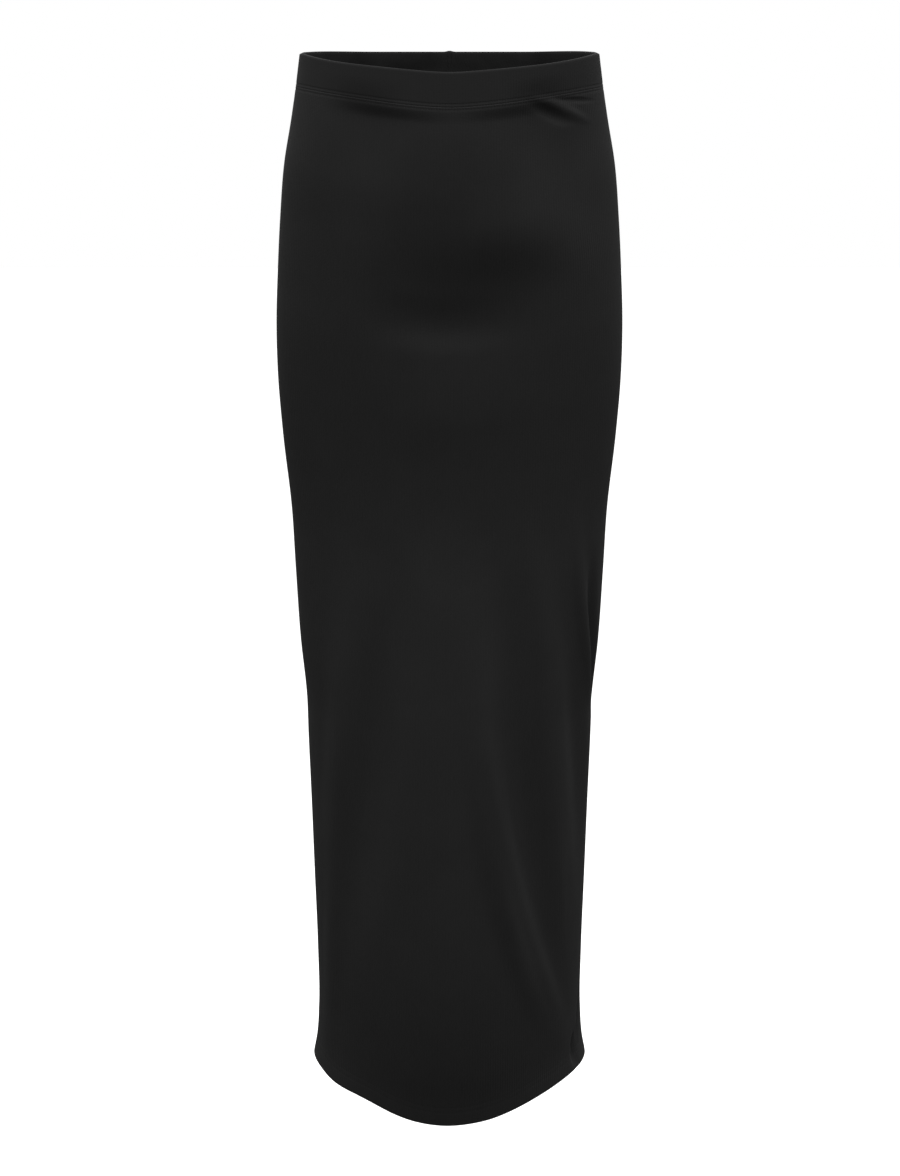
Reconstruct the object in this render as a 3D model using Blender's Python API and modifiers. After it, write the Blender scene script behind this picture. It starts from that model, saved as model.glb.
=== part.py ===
"""A pull-on column skirt in fine rib jersey, filled out as if worn, with nobody in it.

Metres, +Z up. The origin is the centre of the waist opening, level with the waistband's
top edge at the side seams. The front faces -Y.

Every piece is cut from one surface, surface_point(turn, drop). Turn is the angle in
degrees round the body: 0 at the centre front, 90 at the side seam on +X, 180 at the
centre back and -90 at the other side seam. Drop is the distance down a side seam.
"""

import math
from collections import namedtuple

import bmesh
import bpy

COLLECTION = "column_skirt"

# Driving dimensions.
LENGTH = 0.993
BAND_HEIGHT = 0.0295
BAND_WALL = 0.0034
JERSEY_WALL = 0.0015
HEM_WALL = 0.0025
HEM_HEIGHT = 0.020
HEM_LINE = LENGTH - HEM_HEIGHT
SEAM_GAP = 0.0003
BAND_FOLD_RADIUS = 0.0014

FRONT_COLUMNS = 60
BACK_COLUMNS = 34
BAND_COLUMNS = 72
BAND_ROWS = 3

# The body of the skirt: half its width, and how far its front and its back stand from
# the plane of the side seams, at each drop.
Section = namedtuple("Section", "drop half_width front_depth back_depth")
SECTIONS = (
    Section(0.000, 0.1406, 0.0930, 0.0980),  # waist edge
    Section(0.030, 0.1444, 0.0955, 0.1008),  # waistband seam
    Section(0.060, 0.1491, 0.0983, 0.1065),
    Section(0.100, 0.1561, 0.0991, 0.1140),
    Section(0.150, 0.1606, 0.0958, 0.1215),
    Section(0.200, 0.1636, 0.0937, 0.1260),  # seat
    Section(0.250, 0.1656, 0.0918, 0.1215),  # fullest hip
    Section(0.300, 0.1649, 0.0885, 0.1130),
    Section(0.360, 0.1606, 0.0855, 0.1055),
    Section(0.430, 0.1533, 0.0860, 0.1000),
    Section(0.490, 0.1502, 0.0902, 0.0985),
    Section(0.560, 0.1462, 0.0965, 0.0970),
    Section(0.620, 0.1406, 0.1026, 0.0972),
    Section(0.655, 0.1397, 0.1057, 0.0974),  # knee
    Section(0.720, 0.1375, 0.1115, 0.0977),
    Section(0.800, 0.1351, 0.1168, 0.0980),
    Section(0.880, 0.1327, 0.1170, 0.0980),
    Section(0.940, 0.1323, 0.1119, 0.0980),
    Section(0.975, 0.1348, 0.1067, 0.0980),
    Section(0.993, 0.1381, 0.1046, 0.0980),  # hem edge
)

# How far a level line of the cloth hangs below the side seams at the centre front and at
# the centre back, how pointed that curve is, and how far its tip is rounded off.
FRONT_SAG_AT_WAIST = 0.0172
FRONT_SAG_AT_HEM = 0.0360
FRONT_SAG_POWER = 1.35
BACK_SAG_AT_WAIST = -0.0016
BACK_SAG_AT_HEM = 0.0100
BACK_SAG_POWER = 2.0
SAG_TIP = 0.12

# Where the hem hangs lower than that curve, or higher where depth is below zero.
Dip = namedtuple("Dip", "turn reach_turn depth")
DIP_HEIGHT = 0.14
DIPS = (
    Dip(-57, 16, 0.0021),
    Dip(-35, 14, -0.0011),
    Dip(-2, 43, 0.0027),
    Dip(1, 20, -0.0021),
    Dip(52, 32, -0.0019),
)

# Long soft folds. Each runs down through three places and fades out at both ends, the
# faster the larger FOLD_FADE is. Its height is below zero in a trough.
FOLD_FADE = 1.8
Fold = namedtuple(
    "Fold", "top_turn top_drop mid_turn mid_drop low_turn low_drop half_width height"
)
FOLDS = (
    Fold(21, 0.485, 21, 0.740, 66, 0.990, 0.025, 0.0060),  # front, from the knee to the hem
    Fold(24, 0.440, 34, 0.730, 54, 0.940, 0.034, -0.0125),
    Fold(28, 0.396, 47, 0.660, 53, 0.888, 0.021, 0.0037),
    Fold(48, 0.470, 61, 0.610, 72, 0.830, 0.026, -0.0058),
    Fold(54, 0.395, 62, 0.535, 86, 0.645, 0.011, 0.0030),  # beside the seam at the knee
    Fold(64, 0.450, 71, 0.540, 89, 0.640, 0.011, -0.0065),
    Fold(-32, 0.438, -42, 0.580, -56, 0.800, 0.034, 0.0062),
    Fold(-31, 0.454, -34, 0.670, -51, 0.893, 0.036, -0.0056),
    Fold(-52, 0.690, -60, 0.850, -70, 1.000, 0.023, 0.0021),
    Fold(-16, 0.375, 5, 0.520, 6, 0.784, 0.056, 0.0046),  # shallow ridge between the legs
    Fold(-9, 0.399, -10, 0.570, -15, 0.809, 0.035, 0.0050),
    Fold(14, 0.590, 30, 0.762, 61, 0.950, 0.013, 0.0042),
    Fold(84, 0.900, 77, 0.940, 71, 0.985, 0.006, -0.0030),  # beside the corner of the hem
    Fold(71, 0.950, 68, 0.973, 68, 0.995, 0.009, -0.0060),
    Fold(198, 0.430, 212, 0.640, 236, 0.900, 0.018, 0.0045),  # back
    Fold(166, 0.460, 152, 0.700, 126, 0.930, 0.019, 0.0045),
    Fold(182, 0.420, 180, 0.640, 177, 0.900, 0.022, -0.0035),
    Fold(222, 0.420, 231, 0.560, 252, 0.740, 0.016, -0.0030),
    Fold(140, 0.440, 130, 0.600, 110, 0.780, 0.016, -0.0030),
    Fold(236, 0.400, 246, 0.540, 264, 0.680, 0.014, 0.0030),
)

# Shallow hollows, each with a centre and its reach round, up and down.
Hollow = namedtuple("Hollow", "turn drop reach_turn reach_up reach_down depth")
HOLLOWS = (
    Hollow(6, 0.213, 48, 0.080, 0.106, 0.0070),  # under the belly
    Hollow(-1, 0.227, 34, 0.034, 0.026, 0.0030),
    Hollow(24, 0.150, 36, 0.056, 0.050, -0.0029),  # a slight swelling over the hip
    Hollow(50, 0.087, 34, 0.096, 0.110, 0.0062),
    Hollow(-23, 0.045, 31, 0.0135, 0.120, 0.0032),  # under the band, to each side of centre
    Hollow(25, 0.045, 30, 0.0145, 0.120, 0.0035),
    Hollow(-34, 0.050, 22, 0.042, 0.130, 0.0040),  # in the band, over the hip bones
    Hollow(34, 0.037, 18, 0.028, 0.130, 0.0026),
    Hollow(180, 0.075, 40, 0.040, 0.060, 0.0040),  # small of the back
    Hollow(183, 0.300, 44, 0.060, 0.045, 0.0045),  # under the seat
    Hollow(150, 0.044, 22, 0.012, 0.022, 0.0020),
    Hollow(212, 0.043, 20, 0.012, 0.020, 0.0020),
)

# The rows of points down a panel: this far apart, as far as this drop.
RowStep = namedtuple("RowStep", "to_drop step")
FRONT_ROWS = (
    RowStep(0.060, 0.007),
    RowStep(0.180, 0.024),
    RowStep(0.260, 0.016),
    RowStep(0.440, 0.045),
    RowStep(0.900, 0.038),
    RowStep(0.960, 0.020),
)
BACK_ROWS = (
    RowStep(0.060, 0.009),
    RowStep(0.340, 0.035),
    RowStep(0.955, 0.053),
)

JERSEY_COLOUR = (0.0137, 0.0137, 0.0137, 1.0)
JERSEY_ROUGHNESS = 0.85
BAND_ROUGHNESS = 0.80
SMOOTH_ANGLE = math.radians(40)


def clear_scene():
    for old in list(bpy.data.objects):
        bpy.data.objects.remove(old, do_unlink=True)


def through_points(at, places, values):
    """The height at one place of a smooth curve through several (places, values)."""
    count = len(places)
    slopes = [
        (values[i + 1] - values[i]) / (places[i + 1] - places[i]) for i in range(count - 1)
    ]
    i = 0
    while i < count - 2 and at > places[i + 1]:
        i += 1

    def tangent(k):
        if k == 0 or k == count - 1:
            return slopes[min(k, count - 2)]
        before = places[k] - places[k - 1]
        after = places[k + 1] - places[k]
        return (after * slopes[k - 1] + before * slopes[k]) / (before + after)

    step = places[i + 1] - places[i]
    t = (at - places[i]) / step
    rise = values[i] * (1 + 2 * t) * (1 - t) ** 2 + values[i + 1] * t * t * (3 - 2 * t)
    lean = tangent(i) * t * (1 - t) ** 2 + tangent(i + 1) * t * t * (t - 1)
    return rise + step * lean


def section_value(drop, column):
    return through_points(
        drop, [row.drop for row in SECTIONS], [getattr(row, column) for row in SECTIONS]
    )


def turn_between(turn, other):
    """How many degrees turn lies past other, the short way round."""
    return (turn - other + 180.0) % 360.0 - 180.0


def bump(distance):
    """One at the centre, falling smoothly to nothing at a distance of 1."""
    if abs(distance) >= 1.0:
        return 0.0
    return math.cos(0.5 * math.pi * distance) ** 2


def fold_line(fold, drop):
    """The turn of a fold's middle line at this drop, and how fast it turns going down.

    The line is a parabola through the fold's three places.
    """
    top, mid, low = fold.top_drop, fold.mid_drop, fold.low_drop
    upper = (fold.mid_turn - fold.top_turn) / (mid - top)
    lower = (fold.low_turn - fold.mid_turn) / (low - mid)
    curve = (lower - upper) / (low - top)
    turn = fold.top_turn + upper * (drop - top) + curve * (drop - top) * (drop - mid)
    return turn, upper + curve * (2 * drop - top - mid)


def fold_height(fold, turn, drop, radius):
    middle = 0.5 * (fold.top_drop + fold.low_drop)
    half_length = 0.5 * (fold.low_drop - fold.top_drop)
    along = (drop - middle) / half_length
    if abs(along) >= 1.0:
        return 0.0
    line_turn, line_rate = fold_line(fold, drop)
    level = math.radians(turn_between(turn, line_turn)) * radius
    across = level / math.hypot(1.0, math.radians(line_rate) * radius)
    return fold.height * bump(across / fold.half_width) * (1.0 - along**2) ** FOLD_FADE


def hollow_depth(hollow, turn, drop):
    down = drop - hollow.drop
    reach = hollow.reach_down if down > 0.0 else hollow.reach_up
    around = turn_between(turn, hollow.turn) / hollow.reach_turn
    return hollow.depth * bump(down / reach) * bump(around)


def relief(turn, drop, radius):
    """How far folds and hollows lift the cloth off the plain body."""
    lift = sum(fold_height(fold, turn, drop, radius) for fold in FOLDS)
    return lift - sum(hollow_depth(hollow, turn, drop) for hollow in HOLLOWS)


def sag(turn, drop):
    """How far the cloth at this turn hangs below the same drop at the side seams."""
    if math.cos(math.radians(turn)) > 0.0:
        at_waist, at_hem, power = FRONT_SAG_AT_WAIST, FRONT_SAG_AT_HEM, FRONT_SAG_POWER
    else:
        at_waist, at_hem, power = BACK_SAG_AT_WAIST, BACK_SAG_AT_HEM, BACK_SAG_POWER
    depth = at_waist + drop / LENGTH * (at_hem - at_waist)
    across = math.hypot(math.sin(math.radians(turn)), SAG_TIP) ** power
    at_side = math.hypot(1.0, SAG_TIP) ** power
    even = depth * (at_side - across) / (at_side - SAG_TIP**power)
    dips = sum(dip.depth * bump(turn_between(turn, dip.turn) / dip.reach_turn) for dip in DIPS)
    return even + dips * bump((LENGTH - drop) / DIP_HEIGHT)


def surface_point(turn, drop):
    """A point of the cloth's outer face."""
    angle = math.radians(turn)
    half_width = section_value(drop, "half_width")
    column = "front_depth" if math.cos(angle) > 0.0 else "back_depth"
    depth = section_value(drop, column)
    outward_x = depth * math.sin(angle)
    outward_y = -half_width * math.cos(angle)
    stretch = math.hypot(outward_x, outward_y)
    radius = math.hypot(half_width * math.cos(angle), depth * math.sin(angle))
    lift = relief(turn, drop, radius) / stretch
    return (
        half_width * math.sin(angle) + lift * outward_x,
        -depth * math.cos(angle) + lift * outward_y,
        -(drop + sag(turn, drop)),
    )


def rows_down(steps, first_drop):
    """The drops of a panel's rows, with a short step where the turned-up hem begins."""
    drops = [first_drop]
    for row in steps:
        start = drops[-1]
        span = row.to_drop - start
        count = max(1, round(span / row.step))
        drops += [start + span * (i + 1) / count for i in range(count)]
    return drops + [HEM_LINE - HEM_WALL, HEM_LINE, LENGTH - 0.5 * HEM_HEIGHT, LENGTH]


def jersey_material(name, roughness):
    material = bpy.data.materials.new(name)
    material.use_nodes = True
    material.diffuse_color = JERSEY_COLOUR
    shader = material.node_tree.nodes["Principled BSDF"]
    shader.inputs["Base Color"].default_value = JERSEY_COLOUR
    shader.inputs["Roughness"].default_value = roughness
    shader.inputs["Metallic"].default_value = 0.0
    return material


def cloth_grid(name, columns, drops, turn_span, material):
    """A grid of cloth over the body. turn_span(drop) gives its first and last turn."""
    rows = len(drops) - 1
    grid = bmesh.new()
    bmesh.ops.create_grid(grid, x_segments=columns, y_segments=rows, size=0.5)
    for vertex in grid.verts:
        drop = drops[round((0.5 - vertex.co.y) * rows)]
        first, last = turn_span(drop)
        turn = first + (vertex.co.x + 0.5) * (last - first)
        vertex.co = surface_point(turn, drop)
    mesh = bpy.data.meshes.new(name)
    grid.to_mesh(mesh)
    grid.free()
    mesh.materials.append(material)
    mesh.shade_smooth()
    mesh.set_sharp_from_angle(angle=SMOOTH_ANGLE)
    piece = bpy.data.objects.new(name, mesh)
    bpy.data.collections[COLLECTION].objects.link(piece)
    return piece


def add_wall(piece, wall):
    """Gives an open sheet its thickness, inwards from its outer face."""
    solidify = piece.modifiers.new("wall", "SOLIDIFY")
    solidify.thickness = wall
    solidify.offset = -1.0
    solidify.use_rim = True
    return solidify


def seam_turn(drop, column):
    """How far round a panel reaches before it stops half a gap short of the side seam."""
    depth = section_value(drop, column)
    return 90.0 - math.degrees(0.5 * SEAM_GAP / depth)


def make_panel(name, middle, column, columns, steps, material):
    """A front or back panel, with its hem turned up inside."""
    drops = rows_down(steps, BAND_HEIGHT + SEAM_GAP)

    def turn_span(drop):
        reach = seam_turn(drop, column)
        return middle - reach, middle + reach

    panel = cloth_grid(name, columns, drops, turn_span, material)
    solidify = add_wall(panel, HEM_WALL)
    thickness = panel.vertex_groups.new(name="thickness")
    for index in range(len(panel.data.vertices)):
        row_from_hem = index // (columns + 1)
        in_hem = drops[-1 - row_from_hem] >= HEM_LINE
        thickness.add([index], 1.0 if in_hem else JERSEY_WALL / HEM_WALL, "REPLACE")
    solidify.vertex_group = thickness.name
    return panel


def make_waistband(material):
    """The folded strip over its elastic, its two ends meeting at the centre back."""
    drops = [BAND_HEIGHT * i / BAND_ROWS for i in range(BAND_ROWS + 1)]

    def turn_span(drop):
        reach = 180.0 - math.degrees(0.5 * SEAM_GAP / section_value(drop, "half_width"))
        return -reach, reach

    band = cloth_grid("waistband", BAND_COLUMNS, drops, turn_span, material)
    add_wall(band, BAND_WALL)
    weights = band.data.attributes.new("bevel_weight_edge", "FLOAT", "EDGE")
    top_row = len(drops) - 1
    for edge in band.data.edges:
        rows = {index // (BAND_COLUMNS + 1) for index in edge.vertices}
        weights.data[edge.index].value = 1.0 if rows == {top_row} else 0.0
    fold = band.modifiers.new("top_fold", "BEVEL")
    fold.limit_method = "WEIGHT"
    fold.width = BAND_FOLD_RADIUS
    fold.segments = 2
    return band


def main():
    clear_scene()
    collection = bpy.data.collections.new(COLLECTION)
    bpy.context.scene.collection.children.link(collection)
    make_panel(
        "front_panel",
        0.0,
        "front_depth",
        FRONT_COLUMNS,
        FRONT_ROWS,
        jersey_material("front_jersey", JERSEY_ROUGHNESS),
    )
    make_panel(
        "back_panel",
        180.0,
        "back_depth",
        BACK_COLUMNS,
        BACK_ROWS,
        jersey_material("back_jersey", JERSEY_ROUGHNESS),
    )
    make_waistband(jersey_material("band_jersey", BAND_ROUGHNESS))


main()
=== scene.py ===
"""The looks of a pull-on column skirt in black rib jersey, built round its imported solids.

Metres, +Z up, the front facing -Y, the origin in the middle of the waist opening.
Every piece of cloth is a thin sheet laid on one surface, outer_face(turn, drop). Turn is
the angle round the body in degrees: 0 at the centre front, 90 at the seam on +X, 180 at
the centre back. Drop is the distance down a side seam from the waistband's top edge.
"""

import math
from collections import namedtuple

import bpy
import numpy as np
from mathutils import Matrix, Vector


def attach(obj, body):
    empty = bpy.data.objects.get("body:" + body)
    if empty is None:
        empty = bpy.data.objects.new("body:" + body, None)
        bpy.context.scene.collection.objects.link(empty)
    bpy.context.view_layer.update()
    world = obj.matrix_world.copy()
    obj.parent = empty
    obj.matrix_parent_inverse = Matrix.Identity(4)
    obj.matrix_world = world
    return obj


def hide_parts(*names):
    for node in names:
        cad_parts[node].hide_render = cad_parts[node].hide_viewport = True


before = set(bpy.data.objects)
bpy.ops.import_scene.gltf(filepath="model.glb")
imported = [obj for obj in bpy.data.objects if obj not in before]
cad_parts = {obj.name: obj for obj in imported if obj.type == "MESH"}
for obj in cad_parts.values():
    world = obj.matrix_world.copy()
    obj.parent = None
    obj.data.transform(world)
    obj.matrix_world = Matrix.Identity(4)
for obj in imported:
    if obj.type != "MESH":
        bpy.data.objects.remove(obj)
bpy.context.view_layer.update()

# ---------------------------------------------------------------- sizes of the real skirt

JERSEY = 0.0009  # thickness of the cloth
LENGTH = 0.993
BAND_HEIGHT = 0.0295
BAND_DEPTH = 0.0034  # through both layers and the elastic between them
BAND_RISE = 0.0014  # how far the folded top edge stands above drop 0
BAND_ROUND = 0.0002  # how high that edge is rounded
BAND_SWELL = 0.0006  # how much deeper the band is where the elastic lies
BAND_SWELL_MIDDLE = 0.0060
BAND_SWELL_REACH = 0.0140
HEM_ALLOWANCE = 0.021
HEM_INNER_DEPTH = 1.7 * JERSEY  # from the outer face to the middle of the turned-up layer
SEAM_ALLOWANCE = 0.0065
JOIN_ALLOWANCE_END = BAND_HEIGHT + SEAM_ALLOWANCE
ALLOWANCE_GAP = 0.0005  # between a side seam's allowance and what lies above and below it
EDGE_GAP = 0.00004  # between the edges of two pieces that are sewn together

STITCH_LENGTH = 0.0024
NEEDLE_GAUGE = 0.0052  # between the two needle rows
THREAD = 0.00034
WAIST_THREAD_SINK = 0.00008
HEM_THREAD_SINK = 0.00016
LOOPER_THREAD = 0.00024
HEM_STITCH_HEIGHT = 0.0165

# The pattern of the knit, and how strongly each part of it shows.
WALE = 0.0026
COURSE = 0.0013
WALE_RELIEF = 0.00010
LOOP_SHARE = 0.35
FUZZ_SHARE = 0.7
FUZZ_SCALE = 2600.0
CLOUD_SCALE = 28.0
GRAIN_SHARE = 0.12
GRAIN_SCALE = 900.0
# How much the wales' crests are painted lighter and the grooves between them darker: painted
# highlight and shade.
WALE_PAINTED_SHADE = 0.03
TWIST_SCALE = 3500.0

# The body at each drop: half of its width, and its depth to the front and to the back.
Section = namedtuple("Section", "drop half_width front_depth back_depth")
SECTIONS = (
    Section(0.000, 0.1406, 0.0930, 0.0980),  # waist edge
    Section(0.030, 0.1444, 0.0955, 0.1008),  # waistband seam
    Section(0.060, 0.1491, 0.0983, 0.1065),
    Section(0.100, 0.1561, 0.0991, 0.1140),
    Section(0.150, 0.1606, 0.0958, 0.1215),
    Section(0.200, 0.1636, 0.0937, 0.1260),  # seat
    Section(0.250, 0.1656, 0.0918, 0.1215),  # fullest hip
    Section(0.300, 0.1649, 0.0885, 0.1130),
    Section(0.360, 0.1606, 0.0855, 0.1055),
    Section(0.430, 0.1533, 0.0860, 0.1000),
    Section(0.490, 0.1502, 0.0902, 0.0985),
    Section(0.560, 0.1462, 0.0965, 0.0970),
    Section(0.620, 0.1406, 0.1026, 0.0972),
    Section(0.655, 0.1397, 0.1057, 0.0974),  # knee
    Section(0.720, 0.1375, 0.1115, 0.0977),
    Section(0.800, 0.1351, 0.1168, 0.0980),
    Section(0.880, 0.1327, 0.1170, 0.0980),
    Section(0.940, 0.1323, 0.1119, 0.0980),
    Section(0.975, 0.1348, 0.1067, 0.0980),
    Section(0.993, 0.1381, 0.1046, 0.0980),  # hem edge
)

# Where the hem hangs lower than an even curve, or higher where depth is below zero.
Dip = namedtuple("Dip", "turn reach_turn depth")
DIP_HEIGHT = 0.14
DIPS = (
    Dip(-57, 16, 0.0021),
    Dip(-35, 14, -0.0011),
    Dip(-2, 43, 0.0027),
    Dip(1, 20, -0.0021),
    Dip(52, 32, -0.0019),
)

# How far the middle of the front or the back hangs below the side seams. The power says
# how pointed that curve is, and the tip rounds it off in the middle.
FRONT_SAG_AT_WAIST = 0.0172
FRONT_SAG_AT_HEM = 0.0360
FRONT_SAG_POWER = 1.35
BACK_SAG_AT_WAIST = -0.0016
BACK_SAG_AT_HEM = 0.0100
BACK_SAG_POWER = 2.0
SAG_TIP = 0.12

# Folds run down through three places; height is below zero in a trough. The fade says how
# soon a fold dies out towards its two ends.
Fold = namedtuple(
    "Fold", "top_turn top_drop mid_turn mid_drop low_turn low_drop half_width height"
)
FOLD_FADE = 1.8
FOLDS = (
    Fold(21, 0.485, 21, 0.740, 66, 0.990, 0.025, 0.0060),  # front, from the knee to the hem
    Fold(24, 0.440, 34, 0.730, 54, 0.940, 0.034, -0.0125),
    Fold(28, 0.396, 47, 0.660, 53, 0.888, 0.021, 0.0037),
    Fold(48, 0.470, 61, 0.610, 72, 0.830, 0.026, -0.0058),
    Fold(54, 0.395, 62, 0.535, 86, 0.645, 0.011, 0.0030),  # beside the seam at the knee
    Fold(64, 0.450, 71, 0.540, 89, 0.640, 0.011, -0.0065),
    Fold(-32, 0.438, -42, 0.580, -56, 0.800, 0.034, 0.0062),
    Fold(-31, 0.454, -34, 0.670, -51, 0.893, 0.036, -0.0056),
    Fold(-52, 0.690, -60, 0.850, -70, 1.000, 0.023, 0.0021),
    Fold(-16, 0.375, 5, 0.520, 6, 0.784, 0.056, 0.0046),  # shallow ridge between the legs
    Fold(-9, 0.399, -10, 0.570, -15, 0.809, 0.035, 0.0050),
    Fold(14, 0.590, 30, 0.762, 61, 0.950, 0.013, 0.0042),
    Fold(84, 0.900, 77, 0.940, 71, 0.985, 0.006, -0.0030),  # beside the corner of the hem
    Fold(71, 0.950, 68, 0.973, 68, 0.995, 0.009, -0.0060),
    Fold(198, 0.430, 212, 0.640, 236, 0.900, 0.018, 0.0045),  # back
    Fold(166, 0.460, 152, 0.700, 126, 0.930, 0.019, 0.0045),
    Fold(182, 0.420, 180, 0.640, 177, 0.900, 0.022, -0.0035),
    Fold(222, 0.420, 231, 0.560, 252, 0.740, 0.016, -0.0030),
    Fold(140, 0.440, 130, 0.600, 110, 0.780, 0.016, -0.0030),
    Fold(236, 0.400, 246, 0.540, 264, 0.680, 0.014, 0.0030),
)

# Short creases below the waistband, made the same way.
CREASES = (
    Fold(31, 0.0235, 45, 0.0400, 63, 0.0620, 0.0075, 0.0018),
    Fold(32, 0.0310, 41, 0.0460, 50, 0.0600, 0.0080, -0.0023),
    Fold(44, 0.0315, 53, 0.0360, 66, 0.0420, 0.0045, -0.0013),
)

# Broad hollows in the cloth, or swellings where depth is below zero.
Hollow = namedtuple("Hollow", "turn drop reach_turn reach_up reach_down depth")
HOLLOWS = (
    Hollow(6, 0.213, 48, 0.080, 0.106, 0.0070),  # under the belly
    Hollow(-1, 0.227, 34, 0.034, 0.026, 0.0030),
    Hollow(24, 0.150, 36, 0.056, 0.050, -0.0029),  # a slight swelling over the hip
    Hollow(50, 0.087, 34, 0.096, 0.110, 0.0062),
    Hollow(-23, 0.045, 31, 0.0135, 0.120, 0.0032),  # under the band, to each side of centre
    Hollow(25, 0.045, 30, 0.0145, 0.120, 0.0035),
    Hollow(-34, 0.050, 22, 0.042, 0.130, 0.0040),  # in the band, over the hip bones
    Hollow(34, 0.037, 18, 0.028, 0.130, 0.0026),
    Hollow(180, 0.075, 40, 0.040, 0.060, 0.0040),  # small of the back
    Hollow(183, 0.300, 44, 0.060, 0.045, 0.0045),  # under the seat
    Hollow(150, 0.044, 22, 0.012, 0.022, 0.0020),
    Hollow(212, 0.043, 20, 0.012, 0.020, 0.0020),
)

# Lines pressed into the cloth by thread and seams: how deep, and how wide a line is.
JOIN_GROOVE = (0.00012, 0.0007)
WAIST_NEEDLE_GROOVE = (0.00026, 0.0008)
HEM_NEEDLE_GROOVE = (0.00012, 0.0009)
SIDE_SEAM_GROOVE = (0.00070, 0.0009)
BAND_JOIN_GROOVE = (0.00045, 0.0009)
BAND_JOIN_LUMP = (0.0009, 0.0032)
SIDE_SEAM_START = 0.002  # how far below the waistband a side seam's line is at its full depth

# Where the waistband's top edge lies lower than an even curve, or higher.
WAIST_DIP_HEIGHT = 0.020
WAIST_DIPS = (
    Dip(-90, 12, 0.0014),  # at the side seams
    Dip(90, 12, 0.0014),
    Dip(-50, 38, 0.0018),  # at the front
    Dip(47, 38, 0.0017),
    Dip(-118, 34, -0.0009),  # at the back
    Dip(118, 34, -0.0012),
    Dip(180, 50, 0.0006),
)

# ------------------------------------------------------------------- the shape of the body


def along_table(at, rows, column):
    """A smooth curve through one column of a table, read at many drops."""
    places = np.array([row.drop for row in rows])
    values = np.array([getattr(row, column) for row in rows])
    widths = np.diff(places)
    slopes = np.diff(values) / widths
    tangents = np.empty_like(values)
    tangents[0], tangents[-1] = slopes[0], slopes[-1]
    tangents[1:-1] = (widths[1:] * slopes[:-1] + widths[:-1] * slopes[1:]) / (
        widths[1:] + widths[:-1]
    )
    i = np.clip(np.searchsorted(places, at) - 1, 0, len(places) - 2)
    t = (at - places[i]) / widths[i]
    rise = values[i] * (1 + 2 * t) * (1 - t) ** 2 + values[i + 1] * t * t * (3 - 2 * t)
    lean = tangents[i] * t * (1 - t) ** 2 + tangents[i + 1] * t * t * (t - 1)
    return rise + widths[i] * lean


def turn_between(turn, other):
    """How many degrees turn lies past other, the short way round."""
    return (turn - other + 180.0) % 360.0 - 180.0


def bump(distance):
    """One at the centre, falling smoothly to nothing at a distance of 1."""
    return np.where(np.abs(distance) < 1.0, np.cos(0.5 * np.pi * distance) ** 2, 0.0)


def line(distance, size):
    """The depth of a pressed line at this distance from its middle."""
    depth, width = size
    return depth * np.exp(-((distance / width) ** 2))


def fold_height(fold, turn, drop, radius):
    """How far one fold lifts the cloth. It follows a curve through its three places."""
    top, mid, low = fold.top_drop, fold.mid_drop, fold.low_drop
    upper = (fold.mid_turn - fold.top_turn) / (mid - top)
    lower = (fold.low_turn - fold.mid_turn) / (low - mid)
    curve = (lower - upper) / (low - top)
    middle = fold.top_turn + upper * (drop - top) + curve * (drop - top) * (drop - mid)
    rate = np.radians(upper + curve * (2 * drop - top - mid)) * radius
    across = np.radians(turn_between(turn, middle)) * radius / np.hypot(1.0, rate)
    along = np.clip((2 * drop - top - low) / (low - top), -1.0, 1.0)
    return fold.height * bump(across / fold.half_width) * (1.0 - along**2) ** FOLD_FADE


def hollow_depth(hollow, turn, drop):
    """How far one hollow presses the cloth in."""
    down = drop - hollow.drop
    reach = np.where(down > 0.0, hollow.reach_down, hollow.reach_up)
    return hollow.depth * bump(down / reach) * bump(
        turn_between(turn, hollow.turn) / hollow.reach_turn
    )


def relief(turn, drop, radius):
    """How far folds lift the cloth off the plain body, and seams and thread press it in."""
    lift = sum(fold_height(fold, turn, drop, radius) for fold in FOLDS + CREASES)
    lift = lift - sum(hollow_depth(hollow, turn, drop) for hollow in HOLLOWS)
    lift = lift - line(drop - BAND_HEIGHT, JOIN_GROOVE)
    for row in waist_rows():
        lift = lift - line(drop - row, WAIST_NEEDLE_GROOVE)
    for row in hem_rows():
        lift = lift - line(drop - row, HEM_NEEDLE_GROOVE)
    on_panel = np.clip((drop - BAND_HEIGHT) / SIDE_SEAM_START, 0.0, 1.0)
    for seam in (-90.0, 90.0):
        across = np.radians(turn_between(turn, seam)) * radius
        lift = lift - on_panel * line(across, SIDE_SEAM_GROOVE)
    from_join = np.radians(turn_between(turn, 180.0)) * radius
    return lift - (1.0 - on_panel) * line(from_join, BAND_JOIN_GROOVE)


def waist_rows():
    """The drops of the two needle rows that straddle the waistband's seam."""
    return [BAND_HEIGHT - 0.5 * NEEDLE_GAUGE, BAND_HEIGHT + 0.5 * NEEDLE_GAUGE]


def hem_rows():
    """The drops of the hem's two needle rows."""
    middle = LENGTH - HEM_STITCH_HEIGHT
    return [middle - 0.5 * NEEDLE_GAUGE, middle + 0.5 * NEEDLE_GAUGE]


def dips_at(turn, rows):
    """How far a table of dips lowers an edge of the cloth at these turns."""
    return sum(row.depth * bump(turn_between(turn, row.turn) / row.reach_turn) for row in rows)


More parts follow.
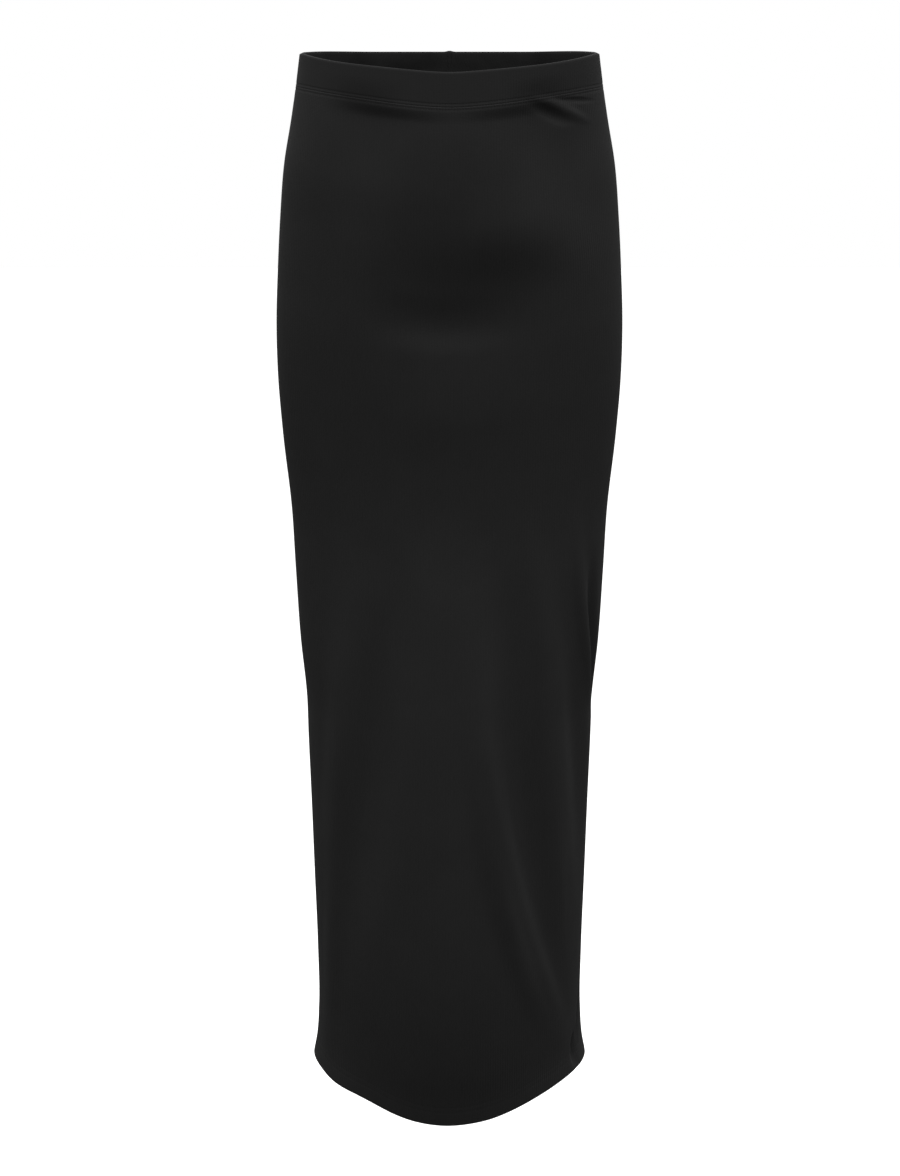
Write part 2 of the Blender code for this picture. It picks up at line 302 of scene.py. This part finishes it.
def sag(turn, drop):
    """How far the cloth hangs below the same drop at the side seams."""
    front = np.cos(np.radians(turn)) > 0.0
    at_waist = np.where(front, FRONT_SAG_AT_WAIST, BACK_SAG_AT_WAIST)
    at_hem = np.where(front, FRONT_SAG_AT_HEM, BACK_SAG_AT_HEM)
    power = np.where(front, FRONT_SAG_POWER, BACK_SAG_POWER)
    depth = at_waist + drop / LENGTH * (at_hem - at_waist)
    across = np.hypot(np.sin(np.radians(turn)), SAG_TIP) ** power
    at_side = np.hypot(1.0, SAG_TIP) ** power
    even = depth * (at_side - across) / (at_side - SAG_TIP**power)
    from_join = np.radians(turn_between(turn, 180.0)) * SECTIONS[0].half_width
    even = even - line(from_join, BAND_JOIN_LUMP) * bump(drop / BAND_HEIGHT)
    at_waist_edge = dips_at(turn, WAIST_DIPS) * bump(drop / WAIST_DIP_HEIGHT)
    return even + at_waist_edge + dips_at(turn, DIPS) * bump((LENGTH - drop) / DIP_HEIGHT)


def outer_face(turn, drop):
    """Points of the cloth's outer face."""
    turn, drop = np.broadcast_arrays(np.asarray(turn, float), np.asarray(drop, float))
    angle = np.radians(turn)
    half_width = along_table(drop, SECTIONS, "half_width")
    depth = np.where(
        np.cos(angle) > 0.0,
        along_table(drop, SECTIONS, "front_depth"),
        along_table(drop, SECTIONS, "back_depth"),
    )
    out_x, out_y = depth * np.sin(angle), -half_width * np.cos(angle)
    radius = np.hypot(half_width * np.cos(angle), depth * np.sin(angle))
    lift = relief(turn, drop, radius) / np.hypot(out_x, out_y)
    x = half_width * np.sin(angle) + lift * out_x
    y = -depth * np.cos(angle) + lift * out_y
    return np.stack((x, y, -(drop + sag(turn, drop))), axis=-1)


def directions(turn, drop):
    """Unit vectors on the outer face: round it to larger turns, down it, and outwards."""
    step_turn, step_drop = 0.2, 0.0003
    round_it = outer_face(turn + step_turn, drop) - outer_face(turn - step_turn, drop)
    down_it = outer_face(turn, drop + step_drop) - outer_face(turn, drop - step_drop)
    out = np.cross(down_it, round_it)
    return [v / np.linalg.norm(v, axis=-1, keepdims=True) for v in (round_it, down_it, out)]


def inside(turn, drop, depth):
    """Points this deep under the outer face."""
    out = directions(turn, drop)[2]
    return outer_face(turn, drop) - out * np.asarray(depth, float)[..., None]


# ------------------------------------------------------------------------- making the cloth

Step = namedtuple("Step", "to size")


def steps_from(start, steps):
    """Places from start on, evenly spaced within each stretch."""
    places = [start]
    for stretch in steps:
        first = places[-1]
        count = max(1, round(abs(stretch.to - first) / stretch.size))
        places += [first + (stretch.to - first) * (i + 1) / count for i in range(count)]
    return places


def deselect_all():
    bpy.ops.object.select_all(action="DESELECT")


def select_only(piece):
    deselect_all()
    piece.select_set(True)
    bpy.context.view_layer.objects.active = piece


def apply_modifier(piece, name):
    select_only(piece)
    bpy.ops.object.modifier_apply(modifier=name)


def close_ring(piece):
    """Joins the first and last columns of a sheet that runs right round."""
    select_only(piece)
    bpy.ops.object.mode_set(mode="EDIT")
    bpy.ops.mesh.select_all(action="SELECT")
    bpy.ops.mesh.remove_doubles(threshold=0.00001)
    bpy.ops.object.mode_set(mode="OBJECT")


def lay_sheet(name, turns, path, wall, materials, second_from=None, ring=False):
    """A sheet of cloth: a column for each turn and a row for each (drop, depth) of path.

    Its other side, and both sides from row second_from on, take the last material.
    """
    deselect_all()
    bpy.ops.mesh.primitive_grid_add(
        x_subdivisions=len(turns) - 1, y_subdivisions=len(path) - 1, size=1.0
    )
    piece = bpy.context.object
    piece.name = piece.data.name = name
    turn, drop = np.meshgrid(np.array(turns), np.array([place[0] for place in path]))
    depth = np.repeat(np.array([place[1] for place in path])[:, None], len(turns), axis=1)
    points = inside(turn, drop, depth)
    piece.data.vertices.foreach_set("co", points.reshape(-1).astype(np.float32))
    lay_out_cut(piece, points, len(turns))
    for material in materials:
        piece.data.materials.append(material)
    if second_from is not None:
        rows = np.arange(len(path) - 1) >= second_from
        choice = np.repeat(rows.astype(np.int32), len(turns) - 1)
        piece.data.polygons.foreach_set("material_index", choice)
    if ring:
        close_ring(piece)
    solidify = piece.modifiers.new("wall", "SOLIDIFY")
    solidify.thickness = wall
    solidify.offset = 0.0
    solidify.material_offset = len(materials) - 1
    apply_modifier(piece, "wall")
    piece.data.shade_smooth()
    return piece


def lay_out_cut(piece, points, columns):
    """UVs in metres on the flat cut: across from the middle column, and along the path."""
    across = np.zeros(points.shape[:2])
    across[:, 1:] = np.cumsum(np.linalg.norm(np.diff(points, axis=1), axis=2), axis=1)
    middle = columns // 2
    across -= across[:, middle : middle + 1]
    steps = np.linalg.norm(np.diff(points[:, middle], axis=0), axis=1)
    down = np.concatenate(([0.0], np.cumsum(steps)))
    flat = np.stack((across, np.repeat(down[:, None], columns, axis=1)), axis=-1)
    corners = np.empty(len(piece.data.loops), dtype=np.int32)
    piece.data.loops.foreach_get("vertex_index", corners)
    uv = flat.reshape(-1, 2)[corners]
    piece.data.uv_layers[0].data.foreach_set("uv", uv.reshape(-1).astype(np.float32))
    piece.data.uv_layers[0].name = "cut"


def turned_edge(edge_drop, first_depth, second_depth, count=8):
    """The (drop, depth) places of cloth folded up round an edge below, outer layer first."""
    radius = 0.5 * (second_depth - first_depth)
    centre = edge_drop - radius - 0.5 * JERSEY
    angles = [math.pi * i / count for i in range(count + 1)]
    return [
        (centre + radius * math.sin(a), first_depth + radius * (1 - math.cos(a)))
        for a in angles
    ]


# --------------------------------------------------------------------------------- materials


def linear(hex_colour):
    """An sRGB hex colour as linear red, green, blue and alpha."""
    channels = [int(hex_colour[i : i + 2], 16) / 255 for i in (1, 3, 5)]
    return [c / 12.92 if c <= 0.04045 else ((c + 0.055) / 1.055) ** 2.4 for c in channels] + [1.0]


def add_node(tree, kind, inputs=None, **settings):
    """Adds a node. Settings are its properties; inputs takes a value or a socket for each."""
    node = tree.nodes.new(kind)
    for name, value in settings.items():
        setattr(node, name, value)
    for key, value in (inputs or {}).items():
        if isinstance(value, bpy.types.NodeSocket):
            tree.links.new(value, node.inputs[key])
        else:
            node.inputs[key].default_value = value
    return node


def bare_tree(owner):
    """The emptied node tree of a new material or sky."""
    owner.use_nodes = True
    owner.node_tree.nodes.clear()
    return owner.node_tree


def rib_jersey(name, colour, roughness, rib_share=1.0, gloss=0.12, cloud_share=0.16):
    """Viscose rib jersey, knitted and dyed black: dull, with wales that catch a thin light, partly
    by their relief and partly as a painted highlight.

    The real wales are about half as wide. They are drawn just wide enough to show.
    """
    material = bpy.data.materials.new(name)
    tree = bare_tree(material)
    cut = add_node(tree, "ShaderNodeUVMap", uv_map="cut").outputs["UV"]
    place = add_node(tree, "ShaderNodeSeparateXYZ", {"Vector": cut}).outputs

    # Each wale is a rounded rib, which gives the cloth its fine upright lines.
    turn = add_node(
        tree, "ShaderNodeMath", {0: place["X"], 1: 2 * math.pi / WALE}, operation="MULTIPLY"
    )
    rib = add_node(tree, "ShaderNodeMath", {0: turn.outputs[0]}, operation="COSINE")

    # The two legs of every loop lean to either side of the wale, one loop in each course,
    # and a short fuzz lies over them, which makes the knit look soft near up.
    leg = add_node(tree, "ShaderNodeMath", {0: turn.outputs[0]}, operation="SINE")
    lean = add_node(tree, "ShaderNodeMath", {0: leg.outputs[0]}, operation="ABSOLUTE")
    climb = add_node(
        tree,
        "ShaderNodeMath",
        {0: place["Y"], 1: 2 * math.pi / COURSE, 2: lean.outputs[0]},
        operation="MULTIPLY_ADD",
    )
    loops = add_node(tree, "ShaderNodeMath", {0: climb.outputs[0]}, operation="SINE")
    knit = add_node(
        tree,
        "ShaderNodeMath",
        {0: loops.outputs[0], 1: LOOP_SHARE, 2: rib.outputs[0]},
        operation="MULTIPLY_ADD",
    )
    fuzz = add_node(tree, "ShaderNodeTexNoise", {"Vector": cut, "Scale": FUZZ_SCALE, "Detail": 2.0})
    height = add_node(
        tree,
        "ShaderNodeMath",
        {0: fuzz.outputs[0], 1: FUZZ_SHARE, 2: knit.outputs[0]},
        operation="MULTIPLY_ADD",
    )
    bump_node = add_node(
        tree,
        "ShaderNodeBump",
        {"Strength": 0.5, "Distance": WALE_RELIEF * rib_share, "Height": height.outputs[0]},
    )

    # The dye takes a little unevenly, in soft clouds and from loop to loop.
    cloud = add_node(
        tree, "ShaderNodeTexNoise", {"Vector": cut, "Scale": CLOUD_SCALE, "Detail": 3.0}
    )
    grain = add_node(
        tree, "ShaderNodeTexNoise", {"Vector": cut, "Scale": GRAIN_SCALE, "Detail": 2.0}
    )
    uneven = add_node(
        tree,
        "ShaderNodeMath",
        {0: cloud.outputs[0], 1: cloud_share, 2: 1.0 - cloud_share},
        operation="MULTIPLY_ADD",
    )
    speckled = add_node(
        tree,
        "ShaderNodeMath",
        {0: grain.outputs[0], 1: GRAIN_SHARE, 2: uneven.outputs[0]},
        operation="MULTIPLY_ADD",
    )
    # The colour is painted lighter along each wale's crest and darker between the wales: painted
    # highlight and shade.
    shade = add_node(
        tree,
        "ShaderNodeMath",
        {0: rib.outputs[0], 1: WALE_PAINTED_SHADE, 2: speckled.outputs[0]},
        operation="MULTIPLY_ADD",
    )
    dye = add_node(
        tree,
        "ShaderNodeVectorMath",
        {0: linear(colour)[:3], "Scale": shade.outputs[0]},
        operation="SCALE",
    )
    shader = add_node(
        tree,
        "ShaderNodeBsdfPrincipled",
        {
            "Base Color": dye.outputs[0],
            "Roughness": roughness,
            "IOR": 1.46,
            "Specular IOR Level": gloss,
            "Sheen Weight": 0.02,
            "Sheen Roughness": 0.45,
            "Sheen Tint": linear("#b8b8b8"),
            "Normal": bump_node.outputs[0],
        },
    )
    add_node(tree, "ShaderNodeOutputMaterial", {"Surface": shader.outputs[0]})
    return material


def spun_thread(name, colour):
    """Spun polyester sewing thread, dyed to match: a touch glossier than the jersey."""
    material = bpy.data.materials.new(name)
    tree = bare_tree(material)
    place = add_node(tree, "ShaderNodeTexCoord").outputs["Object"]
    twist = add_node(
        tree, "ShaderNodeTexNoise", {"Vector": place, "Scale": TWIST_SCALE, "Detail": 2.0}
    )
    shade = add_node(
        tree,
        "ShaderNodeMath",
        {0: twist.outputs[0], 1: 0.5, 2: 0.75},
        operation="MULTIPLY_ADD",
    )
    dye = add_node(
        tree,
        "ShaderNodeVectorMath",
        {0: linear(colour)[:3], "Scale": shade.outputs[0]},
        operation="SCALE",
    )
    bump_node = add_node(
        tree,
        "ShaderNodeBump",
        {"Strength": 0.4, "Distance": 0.00008, "Height": twist.outputs[0]},
    )
    shader = add_node(
        tree,
        "ShaderNodeBsdfPrincipled",
        {
            "Base Color": dye.outputs[0],
            "Roughness": 0.65,
            "Specular IOR Level": 0.16,
            "Sheen Weight": 0.03,
            "Normal": bump_node.outputs[0],
        },
    )
    add_node(tree, "ShaderNodeOutputMaterial", {"Surface": shader.outputs[0]})
    return material


def matt_paper(name, colour):
    """White studio paper, matt. Under this sky it shows as plain white."""
    material = bpy.data.materials.new(name)
    tree = bare_tree(material)
    place = add_node(tree, "ShaderNodeTexCoord").outputs["Object"]
    tooth = add_node(tree, "ShaderNodeTexNoise", {"Vector": place, "Scale": 400.0})
    bump_node = add_node(
        tree,
        "ShaderNodeBump",
        {"Strength": 0.05, "Distance": 0.0002, "Height": tooth.outputs[0]},
    )
    shader = add_node(
        tree,
        "ShaderNodeBsdfPrincipled",
        {
            "Base Color": linear(colour),
            "Roughness": 1.0,
            "Specular IOR Level": 0.0,
            "Normal": bump_node.outputs[0],
        },
    )
    add_node(tree, "ShaderNodeOutputMaterial", {"Surface": shader.outputs[0]})
    return material


# ------------------------------------------------------------------------------- cloth pieces

SIDE_RADIUS = 0.1  # of the body's curve at the side seams, near enough to turn a gap into degrees
BAND_FOLD_PARTS = 12


def panel_turns(middle):
    """Turns across a panel, close together beside its two side seams."""
    reach = 90.0 - math.degrees(EDGE_GAP / SIDE_RADIUS)
    half = steps_from(0.0, [Step(84.0, 1.3), Step(87.0, 0.6), Step(reach, 0.3)])
    return [middle - turn for turn in reversed(half[1:])] + [middle + turn for turn in half]


def panel_path():
    """Places on a panel: down the turned-up hem, round its edge and up to the waistband."""
    outer = 0.5 * JERSEY
    edge = turned_edge(LENGTH, outer, HEM_INNER_DEPTH)
    hem_top = LENGTH - HEM_ALLOWANCE
    within = steps_from(hem_top, [Step(edge[-1][0], 0.002)])
    rows = hem_rows()
    outside = steps_from(
        BAND_HEIGHT + EDGE_GAP,
        [
            Step(0.036, 0.0005),
            Step(0.062, 0.0012),
            Step(0.240, 0.0030),
            Step(0.900, 0.0042),
            Step(rows[0] - 0.002, 0.0026),
            Step(rows[1] + 0.002, 0.0006),
            Step(edge[0][0], 0.0016),
        ],
    )
    path = [(drop, HEM_INNER_DEPTH) for drop in within[:-1]]
    path += reversed(edge)
    return path + [(drop, outer) for drop in reversed(outside[:-1])]


def band_swell(drop):
    """How much deeper the elastic makes the waistband at this drop."""
    return BAND_SWELL * float(bump((drop - BAND_SWELL_MIDDLE) / BAND_SWELL_REACH))


def band_path():
    """Places on the waistband: up its outer face, over the folded top edge, down inside."""
    outer, inner = 0.5 * JERSEY, BAND_DEPTH - 0.5 * JERSEY
    centre = BAND_ROUND + 0.5 * JERSEY - BAND_RISE
    across = 0.5 * (inner + band_swell(centre) - outer)
    rise = steps_from(BAND_HEIGHT - EDGE_GAP, [Step(0.0225, 0.0005), Step(centre, 0.0017)])
    angles = [math.pi * i / BAND_FOLD_PARTS for i in range(1, BAND_FOLD_PARTS)]
    over = [
        (centre - BAND_ROUND * math.sin(a), outer + across * (1 - math.cos(a))) for a in angles
    ]
    down = steps_from(centre, [Step(BAND_HEIGHT - EDGE_GAP, 0.0022)])
    path = [(drop, outer) for drop in rise] + over
    return path + [(drop, inner + band_swell(drop)) for drop in down]


def band_fold_row():
    """The row of band_path at the very top of the fold."""
    drops = [place[0] for place in band_path()]
    return drops.index(min(drops))


def band_turns():
    """Turns right round the waistband, close together beside its join at the back."""
    half = steps_from(0.0, [Step(177.0, 1.2), Step(180.0, 0.3)])
    return [-turn for turn in reversed(half[1:])] + half


def join_allowance_path():
    """Places up the waist seam's allowance, which hangs down inside the panels."""
    middle = 0.5 * (JERSEY + BAND_DEPTH)
    return [(drop, middle) for drop in steps_from(JOIN_ALLOWANCE_END, [Step(BAND_HEIGHT, 0.001)])]


def side_allowance_turns(seam, columns=4):
    """Turns across a side seam's allowance, which is pressed towards the back."""
    towards_back = 1.0 if seam > 0 else -1.0
    width = math.degrees(SEAM_ALLOWANCE / SECTIONS[0].front_depth)
    return sorted(seam + towards_back * width * i / columns for i in range(columns + 1))


def side_allowance_path():
    """Places up a side seam's allowance, from the turned-up hem to the waist seam's allowance."""
    top, end = JOIN_ALLOWANCE_END + ALLOWANCE_GAP, LENGTH - HEM_ALLOWANCE - ALLOWANCE_GAP
    return [(drop, 2 * JERSEY) for drop in steps_from(end, [Step(top, 0.006)])]


# ----------------------------------------------------------------------------------- stitches


def ring_places(drop, spacing, samples=6000):
    """Turns evenly spaced by length right round the skirt at one drop."""
    turns = np.linspace(-180.0, 180.0, samples + 1)
    points = outer_face(turns, np.full(samples + 1, drop))
    run = np.concatenate(([0.0], np.cumsum(np.linalg.norm(np.diff(points, axis=0), axis=1))))
    count = int(round(run[-1] / spacing))
    return np.interp((np.arange(count) + 0.5) * run[-1] / count, run, turns)


STITCH_SHARE = 0.94  # the share of a stitch's length that has thread in it
STITCH_PARTS = 5
STITCH_RISE = 0.00006  # in the middle
STITCH_DIVE = 0.00042  # from the middle down to each end


def model_stitch():
    """One needle stitch lying along X: a short thread whose ends dive into the cloth."""
    deselect_all()
    half = 0.5 * STITCH_LENGTH * STITCH_SHARE
    bpy.ops.mesh.primitive_circle_add(
        vertices=6,
        radius=0.5 * THREAD,
        fill_type="NGON",
        location=(-half, 0, 0),
        rotation=(0, math.radians(90), 0),
    )
    stitch = bpy.context.object
    bpy.ops.object.mode_set(mode="EDIT")
    bpy.ops.mesh.select_all(action="SELECT")
    for _ in range(STITCH_PARTS):
        bpy.ops.mesh.extrude_region_move(
            TRANSFORM_OT_translate={"value": (2 * half / STITCH_PARTS, 0, 0)}
        )
    bpy.ops.mesh.select_all(action="SELECT")
    bpy.ops.mesh.normals_make_consistent(inside=False)
    bpy.ops.object.mode_set(mode="OBJECT")
    bpy.ops.object.transform_apply(location=True, rotation=True, scale=True)
    for vertex in stitch.data.vertices:
        share = vertex.co.x / half
        vertex.co.z += STITCH_RISE - STITCH_DIVE * share**4
    return stitch


def sew(name, stitch, turn, drop, depth, material):
    """Copies of a stitch, one at each place, joined as one piece."""
    round_it, down_it, out = directions(turn, drop)
    centres = outer_face(turn, drop) - out * depth
    base = np.array([v.co for v in stitch.data.vertices])
    points = (
        centres[:, None]
        + base[None, :, 0:1] * round_it[:, None]
        - base[None, :, 1:2] * down_it[:, None]
        + base[None, :, 2:3] * out[:, None]
    )
    faces = [tuple(face.vertices) for face in stitch.data.polygons]
    joined = [
        tuple(index + copy * len(base) for index in face)
        for copy in range(len(turn))
        for face in faces
    ]
    mesh = bpy.data.meshes.new(name)
    mesh.from_pydata(points.reshape(-1, 3).tolist(), [], joined)
    mesh.materials.append(material)
    mesh.shade_smooth()
    piece = bpy.data.objects.new(name, mesh)
    bpy.context.scene.collection.objects.link(piece)
    return piece


def needle_rows(name, stitch, drops, sink, material):
    """Rows of needle stitches right round the skirt, one row at each drop."""
    turns = [ring_places(drop, STITCH_LENGTH) for drop in drops]
    turn = np.concatenate(turns)
    drop = np.concatenate([np.full(len(t), d) for t, d in zip(turns, drops)])
    return sew(name, stitch, turn, drop, sink, material)


def looper_threads(name, drops, depth, material):
    """The thread inside a cover seam, crossing from one needle row to the other."""
    middle, reach = 0.5 * (drops[0] + drops[1]), 0.5 * (drops[1] - drops[0])
    turns = ring_places(middle, 0.25 * STITCH_LENGTH)
    swing = np.arange(len(turns)) * 0.5 * np.pi
    drop = middle + reach * np.sin(swing)
    return thread_along(name, inside(turns, drop, np.full(len(turns), depth)), True, material)


def overlock(name, turns, drops, depth, closed, material):
    """Overlock thread on a raw edge: it swings from one side to the other of a strip.

    turns and drops are two rows of places each, the needle line's and the raw edge's.
    """
    side = np.arange(turns.shape[1]) % 2
    pick = np.arange(turns.shape[1])
    points = inside(turns[side, pick], drops[side, pick], np.full(len(pick), depth))
    return thread_along(name, points, closed, material)


def thread_along(name, points, closed, material):
    """A looper thread drawn through these points, and back to the first where it is closed."""
    curve = bpy.data.curves.new(name, "CURVE")
    curve.dimensions = "3D"
    curve.bevel_depth = 0.5 * LOOPER_THREAD
    curve.bevel_resolution = 0
    spline = curve.splines.new("POLY")
    spline.points.add(len(points) - 1)
    spline.points.foreach_set("co", np.c_[points, np.ones(len(points))].reshape(-1))
    spline.use_cyclic_u = closed
    curve.use_fill_caps = not closed
    piece = bpy.data.objects.new(name, curve)
    bpy.context.scene.collection.objects.link(piece)
    select_only(piece)
    bpy.ops.object.convert(target="MESH")
    piece = bpy.context.object
    piece.data.name = name
    piece.data.materials.append(material)
    piece.data.shade_smooth()
    return piece


# -------------------------------------------------------------------------- seam allowances

SEAMS = (("right", -90.0), ("left", 90.0))
JOIN_ALLOWANCE_THICKNESS = BAND_DEPTH - JERSEY - 0.0002  # of its three layers, pressed flat
HEM_LOOPER_DEPTH = 2.25 * JERSEY  # on the inside of the turned-up hem
SIDE_OVERLOCK_DEPTH = 3.05 * JERSEY  # on the inside of a side seam's allowance
OVERLOCK_STEP = 0.0013
OVERLOCK_WIDTH = 0.0042
SIDE_NEEDLE_SHARE = 0.35  # how far across a side seam's allowance its needle line lies


def join_allowance(material):
    return lay_sheet(
        "waist_seam_allowance",
        band_turns(),
        join_allowance_path(),
        JOIN_ALLOWANCE_THICKNESS,
        [material],
        ring=True,
    )


def join_overlock(material):
    turns = ring_places(JOIN_ALLOWANCE_END, OVERLOCK_STEP)
    rows = np.array([JOIN_ALLOWANCE_END - OVERLOCK_WIDTH, JOIN_ALLOWANCE_END])
    drops = np.repeat(rows[:, None], len(turns), axis=1)
    return overlock(
        "waist_seam_overlock", np.stack((turns, turns)), drops, BAND_DEPTH, True, material
    )


def side_allowance(name, seam, material):
    return lay_sheet(
        name, side_allowance_turns(seam), side_allowance_path(), 2 * JERSEY, [material]
    )


def side_overlock(name, seam, material):
    path = side_allowance_path()
    drops = np.arange(path[-1][0], path[0][0], OVERLOCK_STEP)
    across = side_allowance_turns(seam)
    edge = across[-1] if seam > 0 else across[0]
    needle = seam + SIDE_NEEDLE_SHARE * (edge - seam)
    turns = np.repeat(np.array([[needle], [edge]]), len(drops), axis=1)
    return overlock(
        name, turns, np.stack((drops, drops)), SIDE_OVERLOCK_DEPTH, False, material
    )


# -------------------------------------------------------------------------------- the skirt


def on_skirt(piece, slot, *replaced):
    """Puts a piece on the skirt, in place of the solids that it stands for. Its slot is not used.
    """
    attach(piece, "root")
    if replaced:
        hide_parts(*replaced)


def make_skirt():
    jersey = rib_jersey("rib_jersey_knitted", "#1f1f1f", 0.88)
    # The back of the knit is flatter and more matt, and the dye shows cloudy on it. Its colour is
    # painted shade for the inside of the skirt: the base is paler than the face's, but the heavy
    # clouds make it darker on the whole.
    back_of_knit_and_shade = rib_jersey(
        "rib_jersey_back_of_knit_and_painted_shade", "#252525", 0.92, rib_share=0.6, gloss=0.04, cloud_share=0.8
    )
    # Drawn over the elastic, the ribs of the same jersey are pulled flatter. Its colour, a shade
    # darker than the panels' jersey, is painted shade on the waistband.
    band_jersey_painted_shade = rib_jersey("rib_jersey_over_elastic_painted_shade", "#1d1d1d", 0.88, rib_share=0.5)
    thread = spun_thread("polyester_thread_spun", "#1f1f1f")

    faces = [jersey, back_of_knit_and_shade]
    front = lay_sheet("front_panel_cloth", panel_turns(0.0), panel_path(), JERSEY, faces)
    back = lay_sheet("back_panel_cloth", panel_turns(180.0), panel_path(), JERSEY, faces)
    # From the top of its fold on, the waistband's inner ply takes that darker inside colour too.
    # This is painted shade, as the face of the knit really shows on both plies.
    band = lay_sheet(
        "waistband_cloth",
        band_turns(),
        band_path(),
        JERSEY,
        [band_jersey_painted_shade, back_of_knit_and_shade],
        second_from=band_fold_row(),
        ring=True,
    )
    on_skirt(front, "jersey", "front_panel")
    on_skirt(back, "jersey", "back_panel")
    on_skirt(band, "waistband_jersey", "waistband")

    stitch = model_stitch()
    waist_needles = needle_rows(
        "waist_needle_stitches", stitch, waist_rows(), WAIST_THREAD_SINK, thread
    )
    hem_needles = needle_rows("hem_needle_stitches", stitch, hem_rows(), HEM_THREAD_SINK, thread)
    bpy.data.objects.remove(stitch)
    hem_loopers = looper_threads("hem_looper_threads", hem_rows(), HEM_LOOPER_DEPTH, thread)
    join = join_allowance(back_of_knit_and_shade)
    join_threads = join_overlock(thread)
    sides = [side_allowance(f"side_seam_allowance_{s}", seam, back_of_knit_and_shade) for s, seam in SEAMS]
    side_threads = [side_overlock(f"side_seam_overlock_{s}", seam, thread) for s, seam in SEAMS]
    on_panels = [waist_needles, hem_needles, hem_loopers, join, join_threads]
    on_panels += sides + side_threads
    for piece in on_panels:
        on_skirt(piece, "jersey")


# ------------------------------------------------------------------------ studio and camera

CAMERA_DISTANCE = 2.4
CAMERA_SIDE = 0.0005
CAMERA_PITCH = 12.03
CAMERA_LENS = 76.7
FLOOR_Z = -1.45
SKY_STRENGTH = 1.36
LIGHTS_AIM = (0.0, 0.0, -0.5)

Light = namedtuple("Light", "name x y z width height power")
LIGHTS = (
    Light("top", 0.0, -0.3, 2.2, 1.6, 1.6, 77),
    Light("front", 0.0, -3.0, -0.3, 1.6, 1.6, 6),
    Light("side_left", -2.6, -0.5, 0.1, 1.0, 1.8, 4.0),
    Light("side_right", 2.6, -0.5, 0.1, 1.0, 1.8, 8.5),
)


def area_light(lamp):
    light = bpy.data.lights.new(lamp.name, "AREA")
    light.shape = "RECTANGLE"
    light.size, light.size_y = lamp.width, lamp.height
    light.energy = lamp.power
    holder = bpy.data.objects.new(lamp.name, light)
    bpy.context.scene.collection.objects.link(holder)
    holder.location = lamp.x, lamp.y, lamp.z
    aim = Vector(LIGHTS_AIM) - holder.location
    holder.rotation_euler = aim.to_track_quat("-Z", "Y").to_euler()


def make_sky():
    """Soft light from above, and plain white where the camera looks past the skirt."""
    world = bpy.data.worlds.new("studio")
    tree = bare_tree(world)
    place = add_node(tree, "ShaderNodeTexCoord").outputs["Generated"]
    up = add_node(tree, "ShaderNodeSeparateXYZ", {"Vector": place}).outputs["Z"]
    above = add_node(
        tree, "ShaderNodeMath", {0: up, 1: 4.0, 2: -0.1}, operation="MULTIPLY_ADD", use_clamp=True
    )
    light = add_node(
        tree, "ShaderNodeMath", {0: above.outputs[0], 1: SKY_STRENGTH}, operation="MULTIPLY"
    )
    seen = add_node(tree, "ShaderNodeLightPath").outputs["Is Camera Ray"]
    strength = add_node(
        tree, "ShaderNodeMath", {0: light.outputs[0], 1: seen}, operation="MAXIMUM"
    )
    background = add_node(
        tree,
        "ShaderNodeBackground",
        {"Color": (1.0, 1.0, 1.0, 1.0), "Strength": strength.outputs[0]},
    )
    add_node(tree, "ShaderNodeOutputWorld", {"Surface": background.outputs[0]})
    bpy.context.scene.world = world


def make_studio():
    deselect_all()
    bpy.ops.mesh.primitive_plane_add(size=30.0, location=(0, 0, FLOOR_Z))
    floor = bpy.context.object
    floor.name = floor.data.name = "studio_floor"
    floor.data.materials.append(matt_paper("background_paper", "#f6f6f6"))
    floor.visible_diffuse = False
    floor.visible_glossy = False

    make_sky()
    for lamp in LIGHTS:
        area_light(lamp)


def make_camera():
    data = bpy.data.cameras.new("camera")
    data.lens = CAMERA_LENS
    camera = bpy.data.objects.new("camera", data)
    bpy.context.scene.collection.objects.link(camera)
    camera.location = (CAMERA_SIDE, -CAMERA_DISTANCE, 0.0)
    camera.rotation_euler = (math.radians(90.0 - CAMERA_PITCH), 0.0, 0.0)
    bpy.context.scene.camera = camera
    bpy.context.scene.view_settings.view_transform = "Standard"


make_skirt()
make_studio()
make_camera()
